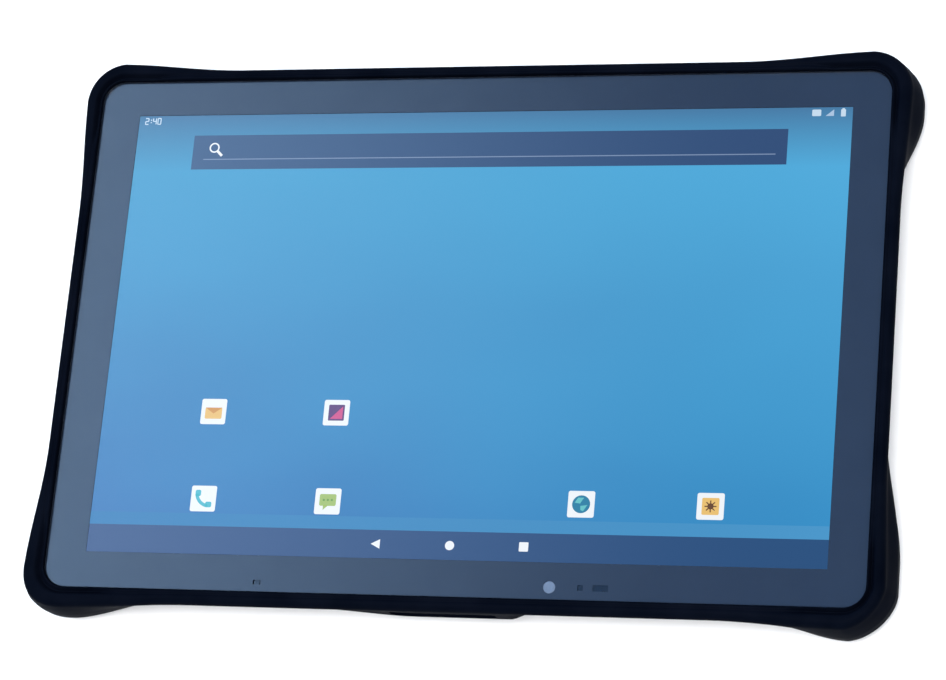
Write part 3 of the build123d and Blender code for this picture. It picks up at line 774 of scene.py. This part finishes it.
def raised_lands():
    """Flat raised fields round the doors and the keys."""
    land_x = SIDE[0] - LAND_INSET
    land_y = SIDE[1] - LAND_INSET
    boxes = []
    for hinge, reach in DOORS.values():
        first, last = span_of(hinge, reach, LAND_MARGIN, LAND_MARGIN)
        boxes.append(((first, WALL_HALF[1] + 0.7, LAND_Z[0]), (last, land_y, LAND_Z[1]), LAND_R, 1))
    boxes.append(((-land_x, CARD_DOOR[0] - LAND_MARGIN, LAND_Z[0]),
                  (-WALL_HALF[0] - 0.6, KEYS["power_key"][0] + 8.5, LAND_Z[1]), LAND_R, 0))
    return boxes


def openings():
    """Cuts for the doors, the keys, the dock slot and the microphone."""
    half = DOOR_HALF + FIT
    boxes = []
    for hinge, reach in DOORS.values():
        first, last = span_of(hinge, reach, PIN_GAP, FIT)
        boxes.append(((first, INSIDE_Y, Z_PORT - half), (last, OUTSIDE_Y, Z_PORT + half), DOOR_R, 1))
    first, last = span_of(*CARD_DOOR, PIN_GAP, FIT)
    boxes.append(((-OUTSIDE_X, first, Z_PORT - half), (-INSIDE_X, last, Z_PORT + half), DOOR_R, 0))
    half = KEY_HALF + FIT
    for centre, length in KEYS.values():
        reach = length / 2 + FIT
        boxes.append(((-OUTSIDE_X, centre - reach, Z_PORT - half), (-INSIDE_X, centre + reach, Z_PORT + half),
                      KEY_R, 0))
    low, high = DOCK_SLOT_Z
    boxes.append(((-DOCK_SLOT_HALF, -OUTSIDE_Y, low), (DOCK_SLOT_HALF, -SLOT_INSIDE_Y, high), SLOT_R, 1))
    low, high = Z_PORT - MICROPHONE_R, Z_PORT + MICROPHONE_R
    nearly_round = 0.99 * MICROPHONE_R
    boxes.append(((-MICROPHONE_R, SLOT_INSIDE_Y, low), (MICROPHONE_R, OUTSIDE_Y, high), nearly_round, 1))
    return boxes


skin = sweep("bumper_skin", [section(p) for p in stations()], [M["rubber"]])
combine(skin, many_boxes("lands", raised_lands()), "UNION")
combine(skin, many_boxes("cuts", openings()), "DIFFERENCE")
for polygon in skin.data.polygons:
    polygon.use_smooth = True
skin.data.set_sharp_from_angle(angle=math.radians(SKIN_CREASE))
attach(skin, ROOT)
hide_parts("bumper_frame")

# ---------------------------------------------------------------- home screen
UI = {
    "bar": lit("search_bar", srgb(56, 87, 128), srgb(43, 73, 116)),
    "nav": lit("navigation_bar", srgb(52, 79, 128), srgb(34, 77, 123)),
    "strip": lit("dock_strip", srgb(48, 123, 178), srgb(72, 152, 203)),
    "white": lit("screen_white", srgb(246, 249, 252)),
    "soft": lit("screen_soft_white", srgb(176, 200, 226)),
    "status": lit("screen_status_white", srgb(204, 224, 240)),
    "line": lit("screen_line", srgb(128, 148, 180)),
    "amber": lit("screen_amber", srgb(240, 196, 110)),
    "amber_dark": lit("screen_amber_dark", srgb(216, 152, 60)),
    "pink": lit("screen_pink", srgb(214, 84, 140)),
    "violet": lit("screen_violet", srgb(98, 62, 120)),
    "cyan": lit("screen_cyan", srgb(86, 190, 206)),
    "green": lit("screen_green", srgb(168, 196, 104)),
    "green_dark": lit("screen_green_dark", srgb(110, 158, 66)),
    "blue": lit("screen_blue", srgb(40, 128, 164)),
    "teal": lit("screen_teal", srgb(104, 196, 200)),
    "brown": lit("screen_brown", srgb(106, 70, 34)),
}
# tops of the thin plates, one over the other
Z_PAPER = 16.18
Z_BARS = 16.20
Z_TILES = 16.22
Z_SIGNS = 16.24
Z_MARKS = 16.26
Z_TOP_MARK = 16.27
NAV_TOP = -59.6
STRIP_TOP = -55.8
SEARCH_HALF = 90.3
SEARCH_Y = (50.5, 61.4)

paper = Sheet()
paper.shape(box(-PICTURE_HALF[0], -PICTURE_HALF[1], *PICTURE_HALF), Z_PAPER, wallpaper("home_wallpaper"))
picture = paper.build("home_wallpaper")

bars = Sheet()
bars.shape(box(-SEARCH_HALF, SEARCH_Y[0], SEARCH_HALF, SEARCH_Y[1]), Z_BARS, UI["bar"])
bars.shape(box(-PICTURE_HALF[0], -PICTURE_HALF[1], PICTURE_HALF[0], NAV_TOP), Z_BARS, UI["nav"])
bars.shape(box(-PICTURE_HALF[0], NAV_TOP, PICTURE_HALF[0], STRIP_TOP), Z_BARS, UI["strip"])
bars.shape(box(-86.7, 53.55, 87.0, 53.85), Z_TILES, UI["line"])
screen_bars = bars.build("screen_bars")

TILE = 7.7
tiles = {
    "mail": (-74.2, -25.1),
    "pictures": (-36.6, -25.0),
    "phone": (-74.3, -51.4),
    "chat": (-36.5, -51.5),
    "globe": (38.1, -50.9),
    "sun": (75.0, -50.8),
}
icons = Sheet()
for x, y in tiles.values():
    icons.shape(rounded(x, y, TILE, TILE, 0.6), Z_TILES, UI["white"])
x, y = tiles["mail"]
icons.shape(rounded(x, y - 0.5, 5.2, 3.4, 0.4), Z_SIGNS, UI["amber"])
icons.shape([(x - 2.6, y + 1.2), (x, y - 0.6), (x + 2.6, y + 1.2)], Z_MARKS, UI["amber_dark"])
x, y = tiles["pictures"]
icons.shape(rounded(x, y, 4.8, 4.8, 0.3), Z_SIGNS, UI["violet"])
icons.shape([(x - 1.9, y - 1.9), (x + 1.9, y - 1.9), (x + 1.9, y + 1.9)], Z_MARKS, UI["pink"])
x, y = tiles["phone"]
for part in ring_parts(x + 2.0, y + 2.0, 4.7, 3.7, 14, 190, 70):
    icons.shape(part, Z_SIGNS, UI["cyan"])
icons.shape(rounded(x - 1.75, y + 1.65, 1.7, 1.9, 0.5), Z_SIGNS, UI["cyan"])
icons.shape(rounded(x + 1.65, y - 1.75, 1.9, 1.7, 0.5), Z_SIGNS, UI["cyan"])
x, y = tiles["chat"]
icons.shape(rounded(x, y + 0.4, 5.0, 3.5, 0.5), Z_SIGNS, UI["green"])
icons.shape([(x - 1.3, y - 1.2), (x - 1.3, y - 2.6), (x + 0.2, y - 1.2)], Z_SIGNS, UI["green"])
for k in (-1, 0, 1):
    icons.shape(disc(x + k * 1.2, y + 0.4, 0.34, 12), Z_MARKS, UI["green_dark"])
x, y = tiles["globe"]
icons.shape(disc(x, y, 2.6), Z_SIGNS, UI["blue"])
north = [(x - 1.9, y + 0.4), (x - 0.3, y + 0.2), (x + 0.7, y + 1.9), (x - 1.0, y + 1.9)]
south = [(x - 0.2, y - 0.5), (x + 1.8, y - 0.2), (x + 0.7, y - 2.0), (x - 0.1, y - 1.7)]
for land in (north, south):
    icons.shape(land, Z_MARKS, UI["teal"])
x, y = tiles["sun"]
icons.shape(rounded(x, y, 4.9, 4.9, 0.4), Z_SIGNS, UI["amber"])
for k in range(8):
    icons.shape(bar(x, y, *on_circle(x, y, 1.7, k * 45), 0.34), Z_MARKS, UI["brown"])
icons.shape(disc(x, y, 0.9, 20), Z_TOP_MARK, UI["brown"])
screen_icons = icons.build("screen_icons")

signs = Sheet()
# back, home and recent buttons
signs.shape([(-22.4, -63.7), (-19.7, -65.1), (-19.7, -62.3)], Z_SIGNS, UI["white"])
signs.shape(disc(0.9, -63.7, 1.35), Z_SIGNS, UI["white"])
signs.shape(rounded(22.5, -63.6, 2.7, 2.7, 0.25), Z_SIGNS, UI["white"])
# search magnifier
for part in ring_parts(-83.5, 57.4, 1.6, 1.15, 28):
    signs.shape(part, Z_SIGNS, UI["white"])
signs.shape(bar(-82.45, 56.35, -80.9, 54.8, 0.8), Z_SIGNS, UI["white"])
# battery and its cap, signal, network
signs.shape(rounded(105.9, 66.1, 1.4, 2.2, 0.2), Z_SIGNS, UI["status"])
signs.shape(rounded(105.9, 67.35, 0.7, 0.4, 0.05), Z_SIGNS, UI["status"])
signs.shape([(100.8, 65.2), (103.2, 65.2), (103.2, 67.2)], Z_SIGNS, UI["soft"])
signs.shape(rounded(98.2, 66.2, 2.6, 2.0, 0.3), Z_SIGNS, UI["status"])


# the strokes of each clock digit, out of seven
STROKES = {"0": "abcdef", "2": "abged", "4": "fgbc"}


def clock(sheet, text, x, y, height):
    """Row of seven-stroke digits and colons."""
    width = height * 0.5
    thick = height * 0.17
    lines = {
        "a": (0, height, width, height),
        "b": (width, height / 2, width, height),
        "c": (width, 0, width, height / 2),
        "d": (0, 0, width, 0),
        "e": (0, 0, 0, height / 2),
        "f": (0, height / 2, 0, height),
        "g": (0, height / 2, width, height / 2),
    }
    for mark in text:
        if mark == ":":
            for level in (0.3, 0.72):
                sheet.shape(disc(x + thick, y + height * level, thick * 0.65, 8), Z_SIGNS, UI["status"])
            x += thick * 3
            continue
        for k in STROKES[mark]:
            x0, y0, x1, y1 = lines[k]
            sheet.shape(bar(x + x0, y + y0, x + x1, y + y1, thick), Z_SIGNS, UI["status"])
        x += width + height * 0.28


clock(signs, "2:40", -106.6, 65.2, 1.9)
screen_signs = signs.build("screen_signs")
for obj in (picture, screen_bars, screen_icons, screen_signs):
    obj.data.transform(Matrix.Translation((ACTIVE_X * MM, 0, 0)))
    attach(obj, ROOT)


# ---------------------------------------------------------------- front camera lens
def turned(name, profile, centre, mats, steps=48):
    """Turned piece from (radius, z) points, closed at the axis."""
    verts, faces = [], []
    for radius, z in profile:
        for k in range(steps):
            a = 2 * math.pi * k / steps
            verts.append((centre[0] + radius * math.cos(a), centre[1] + radius * math.sin(a), z))
    for r in range(len(profile) - 1):
        for k in range(steps):
            m = (k + 1) % steps
            faces.append([r * steps + k, r * steps + m, (r + 1) * steps + m, (r + 1) * steps + k])
    faces.append([(len(profile) - 1) * steps + k for k in range(steps)])
    faces.append(list(reversed(range(steps))))
    return mesh_object(name, verts, faces, mats, smooth_angle=30)


lens_ring = turned(
    "front_camera_ring",
    [(1.74, 16.06), (1.74, 16.20), (1.66, 16.24), (1.05, 16.24), (0.85, 16.16), (0.55, 16.14)],
    FRONT_CAMERA,
    [M["lens_ring"]],
)
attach(lens_ring, ROOT)

# ---------------------------------------------------------------- studio
FLOOR_HALF = 2.3                 # m
FLOOR_GAP = 0.0002

floor_mesh = bpy.data.meshes.new("floor")
floor_corners = [(x * FLOOR_HALF, y * FLOOR_HALF, 0) for x, y in ((-1, -1), (1, -1), (1, 1), (-1, 1))]
floor_mesh.from_pydata(floor_corners, [], [[0, 1, 2, 3]])
floor = bpy.data.objects.new("floor", floor_mesh)
bpy.context.scene.collection.objects.link(floor)
floor.location.z = -FLOOR_GAP
paint(floor, surface("floor_paper", (0.86, 0.86, 0.86, 1.0), 0.9, grain=400, shade=0.005))


def area_light(name, place, size, power, colour):
    """Square soft light that points at the object."""
    data = bpy.data.lights.new(name, "AREA")
    data.size = size
    data.energy = power
    data.color = colour
    obj = bpy.data.objects.new(name, data)
    bpy.context.scene.collection.objects.link(obj)
    obj.location = place
    obj.rotation_mode = "QUATERNION"
    obj.rotation_quaternion = (-Vector(place)).to_track_quat("-Z", "Y")


area_light("key_light", (0.35, -0.55, 2.3), 1.3, 78, (1.0, 0.985, 0.96))
area_light("side_light", (-1.8, -0.7, 1.7), 1.6, 20, (1.0, 0.99, 0.97))
area_light("back_light", (1.5, 1.4, 1.7), 1.6, 18, (0.95, 0.975, 1.0))


class Sky:
    """Plain studio surround: dim overhead, pale near the horizon, one soft bluish glow."""

    DOME = (0.17, 0.22, 0.32, 1.0)
    HORIZON = (0.80, 0.83, 0.88, 1.0)
    GLOW = (2.6, 3.8, 5.3, 1.0)
    GLOW_DIRECTION = Vector((-0.62, 0.25, 0.74)).normalized()

    def __init__(self):
        world = bpy.data.worlds.new("studio")
        bpy.context.scene.world = world
        world.use_nodes = True
        self.tree = world.node_tree
        self.tree.nodes.clear()
        coords = self.tree.nodes.new("ShaderNodeTexCoord")
        split = self.tree.nodes.new("ShaderNodeSeparateXYZ")
        self.tree.links.new(coords.outputs["Generated"], split.inputs["Vector"])
        dot = self.tree.nodes.new("ShaderNodeVectorMath")
        dot.operation = "DOT_PRODUCT"
        dot.inputs[1].default_value = self.GLOW_DIRECTION
        self.tree.links.new(coords.outputs["Generated"], dot.inputs[0])
        surround = self.mix(self.ramp(split.outputs["Z"], 0.02, 0.42), self.HORIZON, self.DOME)
        colour = self.mix(self.ramp(dot.outputs["Value"], 0.88, 1.0), surround, self.GLOW)
        background = self.tree.nodes.new("ShaderNodeBackground")
        self.tree.links.new(colour, background.inputs["Color"])
        out = self.tree.nodes.new("ShaderNodeOutputWorld")
        self.tree.links.new(background.outputs["Background"], out.inputs["Surface"])

    def ramp(self, value, low, high):
        node = self.tree.nodes.new("ShaderNodeMapRange")
        node.interpolation_type = "SMOOTHSTEP"
        node.inputs["From Min"].default_value = low
        node.inputs["From Max"].default_value = high
        self.tree.links.new(value, node.inputs["Value"])
        return node.outputs["Result"]

    def mix(self, factor, a, b):
        node = self.tree.nodes.new("ShaderNodeMix")
        node.data_type = "RGBA"
        for socket, value in ((node.inputs[6], a), (node.inputs[7], b)):
            if isinstance(value, tuple):
                socket.default_value = value
            else:
                self.tree.links.new(value, socket)
        self.tree.links.new(factor, node.inputs[0])
        return node.outputs[2]


Sky()
bpy.context.scene.view_settings.view_transform = "Standard"

camera_data = bpy.data.cameras.new("camera")
camera_data.sensor_width = 36.0
camera_data.lens = 124.36
camera = bpy.data.objects.new("camera", camera_data)
bpy.context.scene.collection.objects.link(camera)
camera.location = (0.2518, -0.2792, 0.8802)
camera.rotation_euler = [math.radians(a) for a in (18.444, 14.493, 5.118)]
bpy.context.scene.camera = camera
